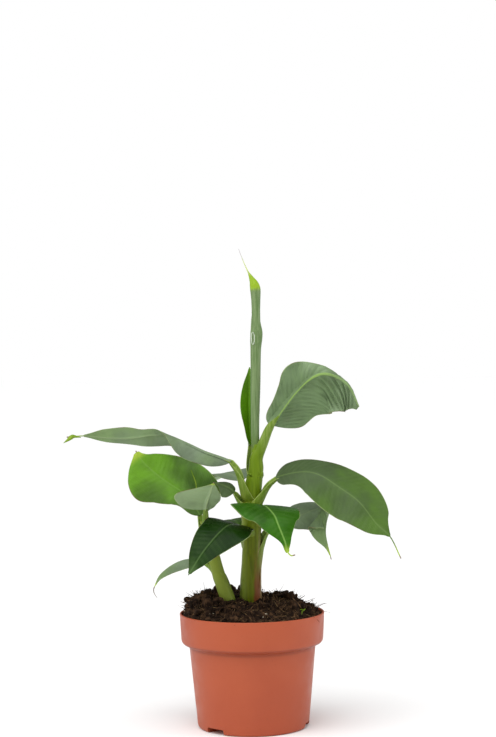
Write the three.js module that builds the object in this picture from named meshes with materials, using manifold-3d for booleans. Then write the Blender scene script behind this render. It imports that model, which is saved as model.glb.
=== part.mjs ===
// A young banana plant with one sucker, in a round nursery pot.
// Millimetres, +Z up. The origin is the middle of the pot's flat underside.

import * as THREE from 'three';
import { mergeVertices } from 'three/addons/utils/BufferGeometryUtils.js';
import Module from 'manifold-3d';

const wasm = await Module();
wasm.setup();

// Driving dimensions

const GAP = 0.3;

const POT = {
  height: 94,
  rimRadius: 60,
  collarHeight: 23,
  collarFootRadius: 58.8,
  shoulderHeight: 4,
  bodyTopRadius: 52.4,
  bodyFootRadius: 46.6,
  footRadius: 44.6,
  footRound: 3,
  wall: 1.6,
  segments: 40,
};

const NOTCH = {
  count: 3,
  firstAzimuth: -133,
  width: 18,
  height: 4.6,
  depth: 20,
};

const SOIL = {
  rimDrop: 2.5,
  crown: 11,
  leftRise: 12,
  backRise: 5,
  lump: 1.6,
  rings: 7,
  segments: 32,
};

const STEM_SIDES = 16;
const SPIKE_SIDES = 10;
const PETIOLE_SIDES = 8;
const PETIOLE_COLOR = 0x8aa64a;
const LIMB_FACE = new THREE.Vector3(-0.41, -0.71, -0.58);
const BLADE_THICKNESS = 1.1;
const BLADE_STATIONS = 12;
const BLADE_CELLS = 3;
const TIP_HALF_WIDTH = 0.5;

// Stems: a path from inside the soil to the top, and radii spread evenly along it.

const STEMS = {
  stem_main: {
    path: [[-1, 0, 88], [-1, 0, 104], [0, 0, 137], [1, 0, 160], [1, 0, 187], [5, 1, 212], [6, 1, 233]],
    radii: [9.2, 8.8, 7.6, 7.2, 8.2, 6.4, 4],
    color: 0x8a9a4a,
  },
  stem_sucker: {
    path: [[-14, -8, 90], [-19, -8, 104], [-24, -8, 118], [-28, -7, 130], [-33, -6, 150], [-38, -5, 171]],
    radii: [6.2, 5.8, 5.4, 5.2, 5, 4.4],
    color: 0x8fa648,
  },
};

// Leaves. path runs up the petiole and on along the midrib; the blade starts at the path's point number
// base, and the last share of it, thread, is the thin tail of the tip. The lists run evenly spaced from the
// blade's base to its tip: face is the way the upper side looks, left and right are the widths of the half
// blades, seen along the path with the upper side up, and liftLeft and liftRight are how far each half
// turns up from flat, in degrees. curl is how much further each turns from midrib to margin, and skew how
// far each point moves on along the path for each millimetre it lies from the midrib. The petiole's radius
// goes from foot to neck.

const LEAVES = {
  upright_young: {
    path: [[1, 7, 215], [1, 10, 232], [0, 14, 250], [0, 20, 272], [1, 27, 297]],
    base: 1, thread: 0.02,
    face: [[0, -1, 0.2], [0, -1, 0.3], [0, -1, 0.4]],
    left: [2, 6, 8, 7.5, 5, 1], right: [2, 8, 11, 10, 6, 1],
    liftLeft: [40, 20, 10], liftRight: [40, 20, 10], curl: [20, 20],
    petiole: [2.6, 1.8],
    color: 0x4c9a1c,
  },
  upper_right: {
    path: [[6, 0, 220], [11.5, 0, 235], [17.5, -2, 249], [26.5, -5, 261.5], [38.5, -8, 276],
      [49.5, -10, 286], [60.5, -10, 290.5], [72, -9, 288], [83, -7, 279.5], [91, -4, 263]],
    base: 2, thread: 0,
    face: [[-0.5, 1, 0.5], [-0.2, 1, 0.4], [0, 1, 0.4], [0.5, 0.9, 0.5]],
    left: [8, 26, 28, 34, 35, 25, 14, 3], right: [10, 10.5, 15, 21, 9, 5, 3, 1],
    liftLeft: [0, 0, 0, 0], liftRight: [0, 0, 0, 0, 40, 80, 90, 90], curl: [-10, 5],
    skew: [0, 0, -0.05, -0.1, 0.1, 0.6, 1, 0.8],
    petiole: [4, 3],
    color: 0x5f7d58,
  },
  long_left: {
    path: [[-3, -6, 194], [-8, -9, 209], [-15, -9, 220], [-37, -8, 229], [-52, -4, 236], [-67, 0, 242],
      [-81, 6, 242], [-94, 12, 240], [-106, 16, 239], [-126, 22, 240], [-140, 26, 241], [-155, 30, 240]],
    base: 2, thread: 0.1,
    face: [[0, -0.4, 1], [0, -0.4, 1], [0, -0.5, 1], [0, -0.5, 1]],
    left: [4, 12, 14, 10, 6, 10, 8, 1], right: [3, 8, 10, 12, 11, 6, 5, 1],
    liftLeft: [-45, -45, -28, 60, 95, 95, 95, 90],
    liftRight: [-68, -68, -74, -82, -85, -85, -85, -90], curl: [-10, 0],
    petiole: [3.8, 2.2],
    color: 0x6d8a63,
  },
  big_left: {
    path: [[-39, -5, 163], [-42, -3, 175], [-50, 2, 187], [-57, 6, 194], [-68, 11, 201], [-79, 15, 209],
      [-90, 18, 219], [-96, 20, 228]],
    base: 1, thread: 0.02,
    face: [[0.2, -1, 0.3], [0, -1, 0.3], [-0.2, -1, 0.3]],
    left: [4, 9, 14, 20, 27, 22, 3], right: [15, 28, 29, 27, 22, 13, 2],
    liftLeft: [0, 0, 0], liftRight: [0, 0, 0], curl: [-10, -10],
    petiole: [3.2, 1.8],
    color: 0x4c8a2b,
  },
  sucker_pale: {
    path: [[-37, -9, 166], [-37, -12, 180], [-35, -22, 189], [-32, -35, 197], [-29, -48, 205]],
    base: 1, thread: 0.04,
    face: [[0, 0.6, 0.8], [0, 0.6, 0.8], [0, 0.6, 0.8]],
    left: [3, 8, 10, 9, 5, 1], right: [8, 24, 28, 25, 13, 1],
    liftLeft: [0, 0, 0], liftRight: [0, 0, 0], curl: [-10, -10],
    petiole: [2.6, 1.8],
    color: 0x86a178,
  },
  front_left: {
    path: [[-3, -8, 163], [-9, -20, 168], [-17, -34, 170], [-24, -44, 166], [-33, -52, 157],
      [-41, -58, 147], [-50, -62, 133]],
    base: 1, thread: 0.02,
    face: [[0.3, -0.2, 1], [0.2, -0.4, 1], [-0.4, -1, 0.5], [-0.5, -1, 0.3], [-0.5, -1, 0.2]],
    left: [6, 20, 23, 18, 13, 8, 1.5], right: [6, 22, 20, 18, 14, 9, 1.5],
    liftLeft: [18, 4, 0, 0], liftRight: [-5, 0, 0, 0], curl: [-10, -10],
    petiole: [2.6, 1.8],
    color: 0x1f4a0c,
  },
  front_right: {
    path: [[5, -8, 178], [9, -20, 184], [13, -32, 184], [19, -44, 178], [22, -51, 171], [27, -56, 158],
      [28.5, -58, 151], [31.5, -59, 147], [35, -59, 147.5]],
    base: 1, thread: 0.1,
    face: [[0, 0, 1], [0.1, -0.3, 1], [0.2, -1, 0.5], [0.2, -1, 0.3], [0.2, -1, 0.1]],
    left: [8, 28, 26, 21, 14, 6, 1.5], right: [8, 30, 28, 19, 11, 4, 1.5],
    liftLeft: [-5, 0, 0, 0], liftRight: [12, 6, 0, 0], curl: [-10, -10],
    petiole: [2.8, 1.8],
    color: 0x3c8212,
  },
  behind_right: {
    path: [[4.5, -1, 137], [7.5, 0, 149], [13.5, 1, 161], [28, 2, 169], [43, 2, 174], [53, 1, 178],
      [60, -3, 180], [63, -8, 172], [62, -10, 158], [66, -11, 138]],
    base: 3, thread: 0.05,
    face: [[0, -0.5, 1], [0, -0.5, 1], [0.4, -0.5, 0.8], [0.9, -0.5, 0.2], [0.9, -0.4, 0]],
    left: [3, 14, 13, 6, 3, 2, 1], right: [3, 13, 19, 19, 11, 4.5, 1],
    skew: [0, 0, -0.1, 0.7, 1.4, 1.3, 1], liftLeft: [10, 15, 0, -45, -60, -60, -40], liftRight: [-30, -35, -40, -40, -40, -30, -20],
    curl: [0, -5],
    petiole: [2.7, 1.8],
    color: 0x4f7a3a,
  },
  right: {
    path: [[5, -4, 185], [13, -8, 198], [21, -12, 206], [41, -20, 211], [56, -26, 209], [72, -32, 199],
      [88, -38, 187], [101, -43, 170], [112, -46, 159], [120, -48, 142]],
    base: 2, thread: 0.15,
    face: [[0, -0.5, 1], [0.1, -0.6, 1], [0.4, -0.9, 0.7], [0.5, -0.9, 0.5], [0.6, -0.8, 0.3]],
    left: [9, 19, 22, 28, 30, 28, 20, 1.5], right: [2, 11, 19, 22, 23, 21, 13, 1.5],
    liftLeft: [5, 0, -10, -5, 0], liftRight: [-30, -30, -25, -20, -10], curl: [-5, -5],
    petiole: [3.8, 2.2],
    color: 0x4d7f3c,
  },
  low_left: {
    path: [[-32, -5, 132], [-42, -2, 138], [-54, 6, 138], [-66, 12, 133], [-77, 15, 124], [-82, 16, 113]],
    base: 1, thread: 0.04,
    face: [[0, -0.1, 1], [-0.3, -0.1, 1], [-0.8, -0.1, 0.5]],
    left: [3, 11, 12, 10, 6, 1], right: [3, 11, 12, 10, 6, 1],
    liftLeft: [-35, -35, -35], liftRight: [-40, -40, -40], curl: [0, 0],
    petiole: [2.4, 1.6],
    color: 0x4c7a2a,
  },
  low_back: {
    path: [[-4, 5, 150], [-8, 12, 161], [-12, 24, 167], [-18, 40, 167], [-26, 56, 160], [-32, 70, 148]],
    base: 1, thread: 0.03,
    face: [[0, -0.2, 1], [-0.2, 0.2, 1], [-0.4, 0.6, 0.7]],
    left: [3, 13, 15, 13, 8, 1], right: [3, 13, 15, 13, 8, 1],
    liftLeft: [5, 0, 0], liftRight: [5, 0, 0], curl: [0, 0],
    petiole: [2.4, 1.6],
    color: 0x4c7a2a,
  },
  small_left: {
    path: [[-5, -4, 183], [-13, -6, 194], [-20, -5, 199], [-29, -4, 202]],
    base: 1, thread: 0.05,
    face: [[0, -0.6, 1], [0, -0.6, 1], [0, -0.6, 1]],
    left: [4, 10, 11, 9, 4, 1], right: [3, 5, 6, 5, 3, 1],
    liftLeft: [-20, -20, -10], liftRight: [0, 0, 0], curl: [0, 0],
    petiole: [2.6, 1.6],
    color: 0x6b8f50,
  },
  back_left: {
    path: [[-1, 6, 190], [-7, 14, 202], [-17, 28, 207], [-30, 44, 205], [-44, 60, 196], [-56, 74, 182]],
    base: 1, thread: 0.03,
    face: [[0, -0.3, 1], [-0.2, 0.2, 1], [-0.4, 0.5, 0.7]],
    left: [3, 17, 20, 18, 11, 1], right: [3, 17, 20, 18, 11, 1],
    liftLeft: [10, 0, 0], liftRight: [10, 0, 0], curl: [0, 0],
    petiole: [3, 1.8],
    color: 0x6d8a63,
  },
};

// The newest leaf, still rolled up into a spike on top of the main stem, with the hooked thread at its tip.

const SPIKE = {
  path: [[5.4, 1, 233.8], [4.9, 1, 257], [5.6, 1, 282], [6.2, 1, 311], [7, 1, 326], [6.8, 1, 340],
    [7.1, 1, 352], [6, 1, 366], [2, 1, 375], [-2.2, 1, 384], [-6.7, 1, 395.5]],
  radii: [3.6, 3.7, 3.9, 4.2, 4.4, 4.6, 5.2, 3.9, 3.9, 3.7, 0.6, 0.4],
  color: 0x6c8a5c,
};

// Geometry

function solidFromRings(rings) {
  const size = rings[0].length;
  const positions = rings.flat().flatMap((point) => [point.x, point.y, point.z]);
  const index = [];
  for (let row = 0; row + 1 < rings.length; row += 1) {
    for (let i = 0; i < size; i += 1) {
      const a = row * size + i;
      const b = row * size + ((i + 1) % size);
      index.push(a, b, b + size, a, b + size, a + size);
    }
  }
  const last = (rings.length - 1) * size;
  for (let i = 1; i + 1 < size; i += 1) {
    index.push(0, i + 1, i);
    index.push(last, last + i, last + i + 1);
  }
  const geometry = new THREE.BufferGeometry();
  geometry.setAttribute('position', new THREE.Float32BufferAttribute(positions, 3));
  geometry.setIndex(index);
  return geometry;
}

function toManifold(geometry) {
  const bare = geometry.clone();
  bare.deleteAttribute('normal');
  bare.deleteAttribute('uv');
  const merged = mergeVertices(bare, 1e-4);
  return new wasm.Manifold(new wasm.Mesh({
    numProp: 3,
    vertProperties: new Float32Array(merged.attributes.position.array),
    triVerts: new Uint32Array(merged.index.array),
  }));
}

function toGeometry(manifold) {
  const { vertProperties, triVerts } = manifold.getMesh();
  const geometry = new THREE.BufferGeometry();
  geometry.setAttribute('position', new THREE.Float32BufferAttribute(vertProperties, 3));
  geometry.setIndex(Array.from(triVerts));
  return geometry;
}

function largestPiece(manifold) {
  const pieces = manifold.decompose();
  pieces.sort((a, b) => b.volume() - a.volume());
  return pieces[0];
}

function smoothCurve(points) {
  const curve = new THREE.CatmullRomCurve3(points.map((p) => new THREE.Vector3(...p)));
  curve.curveType = 'catmullrom';
  return curve;
}

// The value at t, from 0 to 1, of a smooth line through evenly spaced values.
function smooth(values, t) {
  const last = values.length - 1;
  const place = THREE.MathUtils.clamp(t, 0, 1) * last;
  const low = Math.min(Math.floor(place), last - 1);
  const [a, b] = [values[low], values[low + 1]];
  const before = low > 0 ? values[low - 1] : a;
  const after = low + 2 <= last ? values[low + 2] : b;
  const step = place - low;
  const slopeA = (b - before) / 2;
  const slopeB = (after - a) / 2;
  const bend = 3 * (b - a) - 2 * slopeA - slopeB;
  const twist = slopeA + slopeB - 2 * (b - a);
  return a + step * (slopeA + step * (bend + step * twist));
}

function smoothVector(vectors, t) {
  return new THREE.Vector3(...[0, 1, 2].map((axis) => smooth(vectors.map((v) => v[axis]), t)));
}

// A frame on the curve: along it, to the right of it, and up out of its upper side.
function frameAt(curve, at, face) {
  const along = curve.getTangentAt(at);
  const right = new THREE.Vector3().crossVectors(along, face).normalize();
  const up = new THREE.Vector3().crossVectors(right, along);
  return { point: curve.getPointAt(at), along, right, up };
}

function placed({ point, along, right, up }, x, y, skew = 0) {
  const place = point.clone().addScaledVector(right, x).addScaledVector(up, y);
  return place.addScaledVector(along, skew * Math.abs(x));
}

function limb(curve, from, to, radii, sides, steps, grow = 0) {
  const rings = [];
  for (let row = 0; row <= steps; row += 1) {
    const t = row / steps;
    const frame = frameAt(curve, THREE.MathUtils.lerp(from, to, t), LIMB_FACE);
    const radius = smooth(radii, t) + grow;
    const ring = [];
    for (let i = 0; i < sides; i += 1) {
      const angle = (-2 * Math.PI * i) / sides;
      ring.push(placed(frame, radius * Math.cos(angle), radius * Math.sin(angle)));
    }
    rings.push(ring);
  }
  return toManifold(solidFromRings(rings));
}

// The points across one half blade, from the midrib to the margin, with their normals.
function halfBlade(width, lift, curl, hand) {
  const points = [];
  let x = 0;
  let y = 0;
  for (let i = 0; i <= BLADE_CELLS; i += 1) {
    const angle = THREE.MathUtils.degToRad(lift + curl * (i / BLADE_CELLS));
    if (i > 0) {
      x += (width / BLADE_CELLS) * Math.cos(angle);
      y += (width / BLADE_CELLS) * Math.sin(angle);
    }
    const thickness = (BLADE_THICKNESS / 2) * (1 - (0.4 * i) / BLADE_CELLS);
    const normal = [-Math.sin(angle) * thickness * hand, Math.cos(angle) * thickness];
    points.push({ x: x * hand, y, normal });
  }
  return points;
}

function blade(leaf, curve, from) {
  const rings = [];
  for (let row = 0; row <= BLADE_STATIONS; row += 1) {
    const t = row / BLADE_STATIONS;
    const frame = frameAt(curve, THREE.MathUtils.lerp(from, 1, t), smoothVector(leaf.face, t));
    const inBlade = t / (1 - leaf.thread);
    const widths = [leaf.left, leaf.right].map((list) => (
      inBlade < 1 ? Math.max(smooth(list, inBlade), TIP_HALF_WIDTH) : TIP_HALF_WIDTH));
    const left = halfBlade(widths[0], smooth(leaf.liftLeft, t), leaf.curl[0], -1);
    const right = halfBlade(widths[1], smooth(leaf.liftRight, t), leaf.curl[1], 1);
    const midrib = { x: 0, y: 0, normal: [0, BLADE_THICKNESS / 2] };
    const skew = smooth(leaf.skew ?? [0, 0], t);
    const across = [...left.slice(1).reverse(), midrib, ...right.slice(1)];
    const upper = across.map((p) => placed(frame, p.x + p.normal[0], p.y + p.normal[1], skew));
    const lower = across.map((p) => placed(frame, p.x - p.normal[0], p.y - p.normal[1], skew));
    rings.push([...upper, ...lower.reverse()]);
  }
  return toManifold(solidFromRings(rings));
}

// Sub-parts

const plant = new THREE.Group();

function addPart(name, manifold, color, roughness) {
  const material = new THREE.MeshStandardMaterial({ color, roughness, metalness: 0 });
  const mesh = new THREE.Mesh(toGeometry(manifold), material);
  mesh.name = name;
  plant.add(mesh);
}

function stemSolid({ path, radii }, grow) {
  return limb(smoothCurve(path), 0, 1, radii, STEM_SIDES, 2 * (path.length - 1), grow);
}

function makePot() {
  const collarFoot = POT.height - POT.collarHeight;
  const bodyTop = collarFoot - POT.shoulderHeight;
  const footInset = POT.bodyFootRadius - POT.footRadius;
  const profile = [
    [0, 0],
    [POT.footRadius, 0],
    [POT.bodyFootRadius - 0.3 * footInset, 0.3 * POT.footRound],
    [POT.bodyFootRadius, POT.footRound],
    [POT.bodyTopRadius, bodyTop],
    [POT.collarFootRadius - 1, collarFoot - 1],
    [POT.collarFootRadius, collarFoot],
    [POT.rimRadius, POT.height - 0.8],
    [POT.rimRadius - 0.6, POT.height],
    [POT.rimRadius - POT.wall, POT.height],
    [POT.collarFootRadius - POT.wall, collarFoot + POT.wall],
    [POT.bodyTopRadius - POT.wall, bodyTop + POT.wall],
    [POT.bodyFootRadius - POT.wall, POT.footRound],
    [POT.footRadius - POT.wall, POT.wall],
    [0, POT.wall],
  ];
  const outside = profile.slice(0, profile.findIndex((p) => p[1] === bodyTop) + 1).concat([[0, bodyTop]]);
  let pot = turned(profile);
  for (let i = 0; i < NOTCH.count; i += 1) pot = pot.add(turned(outside).intersect(notch(i, POT.wall)));
  for (let i = 0; i < NOTCH.count; i += 1) pot = pot.subtract(notch(i, 0));
  return pot;
}

function turned(profile) {
  const points = profile.map((p) => new THREE.Vector2(...p));
  return toManifold(new THREE.LatheGeometry(points, POT.segments).rotateX(Math.PI / 2));
}

// One of the drainage notches moulded into the foot, as a block grown by grow on every side.
function notch(i, grow) {
  const [length, height] = [2 * (NOTCH.depth + grow), 2 * (NOTCH.height + grow)];
  const block = new THREE.BoxGeometry(length, NOTCH.width + 2 * grow, height);
  block.translate(POT.bodyFootRadius, 0, 0);
  block.rotateZ(THREE.MathUtils.degToRad(NOTCH.firstAzimuth + (360 * i) / NOTCH.count));
  return toManifold(block);
}

// The height of the heaped soil, where edge goes from 0 at the middle to 1 at the rim: domed, higher to the
// left and behind, and uneven.
function soilHeight(x, y, edge) {
  const dome = SOIL.crown * (1 - edge * edge) ** 0.7;
  const left = Math.max(0, -x / POT.rimRadius) ** 1.5 * Math.min(1.2, 1 + y / POT.rimRadius);
  const back = THREE.MathUtils.clamp(y / 40, 0, 1) ** 1.5;
  const lumps = Math.sin(x / 7 + 1) * Math.cos(y / 6) + 0.6 * Math.sin(y / 4 + x / 9);
  const rise = SOIL.leftRise * left + SOIL.backRise * back + SOIL.lump * lumps;
  return POT.height - SOIL.rimDrop + dome + rise * Math.min(1, 6 * (1 - edge));
}

function makeSoil() {
  const inside = GAP + POT.wall;
  const collarFoot = POT.height - POT.collarHeight;
  const sides = [
    [POT.footRadius - inside - 1, inside + 0.4],
    [POT.bodyFootRadius - inside - 0.2, POT.footRound + 0.6],
    [POT.bodyTopRadius - inside - 0.2, collarFoot - POT.shoulderHeight + inside],
    [POT.collarFootRadius - inside - 0.4, collarFoot + inside + 0.4],
  ];
  const rings = sides.map(([radius, z]) => soilRing(radius, () => z));
  const rimRadius = POT.rimRadius - inside - 0.4;
  for (let row = SOIL.rings; row > 0; row -= 1) {
    const edge = row / SOIL.rings;
    rings.push(soilRing(rimRadius * edge, (x, y) => soilHeight(x, y, edge)));
  }
  return toManifold(solidFromRings(rings));
}

function soilRing(radius, height) {
  const ring = [];
  for (let i = 0; i < SOIL.segments; i += 1) {
    const angle = (2 * Math.PI * i) / SOIL.segments;
    const x = radius * Math.cos(angle);
    const y = radius * Math.sin(angle);
    ring.push(new THREE.Vector3(x, y, height(x, y)));
  }
  return ring;
}

const stems = {};
const stemRoom = {};
let soil = makeSoil();
for (const [name, stem] of Object.entries(STEMS)) {
  stemRoom[name] = stemSolid(stem, GAP);
  stems[name] = stemSolid(stem, 0);
  soil = soil.subtract(stemRoom[name]);
}
for (let i = 0; i < NOTCH.count; i += 1) soil = soil.subtract(notch(i, POT.wall + GAP));

addPart('pot', makePot(), 0xb4633f, 0.45);
addPart('soil', largestPiece(soil), 0x2c1a12, 1);
for (const [name, stem] of Object.entries(STEMS)) addPart(name, stems[name], stem.color, 0.5);

const spikeCurve = smoothCurve(SPIKE.path);
const spikeSteps = 2 * (SPIKE.path.length - 1);
addPart('leaf_rolled_spike', limb(spikeCurve, 0, 1, SPIKE.radii, SPIKE_SIDES, spikeSteps), SPIKE.color, 0.5);

const taken = [...Object.values(stemRoom), limb(spikeCurve, 0, 1, SPIKE.radii, SPIKE_SIDES, spikeSteps, GAP)];

for (const [name, leaf] of Object.entries(LEAVES)) {
  const curve = smoothCurve(leaf.path);
  const lengths = curve.getLengths(200);
  const total = lengths[200];
  const baseAt = lengths[Math.round((200 * leaf.base) / (leaf.path.length - 1))] / total;
  const margin = GAP / total;
  const petioleSteps = 3 * leaf.base;
  let petiole = limb(curve, 0, baseAt - margin, leaf.petiole, PETIOLE_SIDES, petioleSteps);
  let bladeSolid = blade(leaf, curve, baseAt + margin);
  for (const room of taken) {
    petiole = petiole.subtract(room);
    bladeSolid = bladeSolid.subtract(room);
  }
  addPart(`petiole_${name}`, largestPiece(petiole), PETIOLE_COLOR, 0.5);
  addPart(`leaf_${name}`, largestPiece(bladeSolid), leaf.color, 0.45);
}

export default plant;
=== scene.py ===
"""A young banana plant with one sucker, in a round nursery pot."""

import math

import bmesh
import bpy
import numpy as np
from mathutils import Euler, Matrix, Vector, noise


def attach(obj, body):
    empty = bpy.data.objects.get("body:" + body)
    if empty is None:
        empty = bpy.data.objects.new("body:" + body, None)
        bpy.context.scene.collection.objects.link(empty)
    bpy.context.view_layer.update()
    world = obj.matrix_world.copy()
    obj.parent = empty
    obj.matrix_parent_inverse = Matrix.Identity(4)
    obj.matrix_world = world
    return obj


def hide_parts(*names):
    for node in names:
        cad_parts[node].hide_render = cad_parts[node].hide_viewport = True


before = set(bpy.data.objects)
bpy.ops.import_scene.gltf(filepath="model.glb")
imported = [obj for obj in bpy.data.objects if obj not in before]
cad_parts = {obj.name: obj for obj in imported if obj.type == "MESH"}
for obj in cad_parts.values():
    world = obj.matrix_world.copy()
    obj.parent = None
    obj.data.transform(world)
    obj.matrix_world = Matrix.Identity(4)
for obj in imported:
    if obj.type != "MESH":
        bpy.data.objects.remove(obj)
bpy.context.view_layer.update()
MM = 0.001
RNG = np.random.default_rng(11)

# Dimensions in millimetres, as in the CAD model.

POT = {
    "height": 94, "rim": 60, "collar": 23, "collar_foot": 58.8, "shoulder": 4,
    "body_top": 52.4, "body_foot": 46.6, "foot": 44.6, "foot_round": 3, "wall": 1.6,
}
NOTCH = {"count": 3, "azimuth": -133, "width": 18, "height": 4.6, "depth": 20}
SOIL = {"drop": 2.5, "crown": 11, "left": 12, "back": 5, "lump": 1.6}
SOIL_RADIUS = POT["rim"] - POT["wall"] - 0.7

# Each stem: points from inside the soil to the top, and radii spread evenly along it.
STEMS = {
    "stem_main": {
        "path": [[-1, 0, 88], [-1, 0, 104], [0, 0, 137], [1, 0, 160], [1, 0, 187], [5, 1, 212],
                 [6, 1, 233]],
        "radii": [9.2, 8.8, 7.6, 7.2, 8.2, 6.4, 4],
    },
    "stem_sucker": {
        "path": [[-14, -8, 90], [-19, -8, 104], [-24, -8, 118], [-28, -7, 130], [-33, -6, 150],
                 [-38, -5, 171]],
        "radii": [6.2, 5.8, 5.4, 5.2, 5, 4.4],
    },
}

# The rolled leaf on top: radii are (height, radius), and edge is (height, degrees round to its free edge).
SPIKE = {
    "path": [[5.2, 1, 226], [4.7, 1, 240], [4.9, 1, 257], [5.6, 1, 282], [6.2, 1, 311], [7, 1, 325],
             [6.6, 1, 335], [7.1, 1, 345], [7, 1, 360], [5.9, 1, 366], [3.7, 1, 371], [0.2, 1, 378],
             [-2, 1, 383], [-4.7, 1, 390], [-6.7, 1, 395.5]],
    "radii": [(226, 3.4), (257, 3.8), (283, 4.3), (312, 4.5), (320, 5.1), (326, 5.2), (334, 4.1), (344, 3.5),
              (353, 3.8), (362, 4.4), (366, 3.9), (371, 2.2), (377, 0.6), (386, 0.3), (396, 0.15)],
    "edge": [(226, 200), (300, 200), (322, 285), (336, 215), (346, 150), (396, 150)],
}

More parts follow.
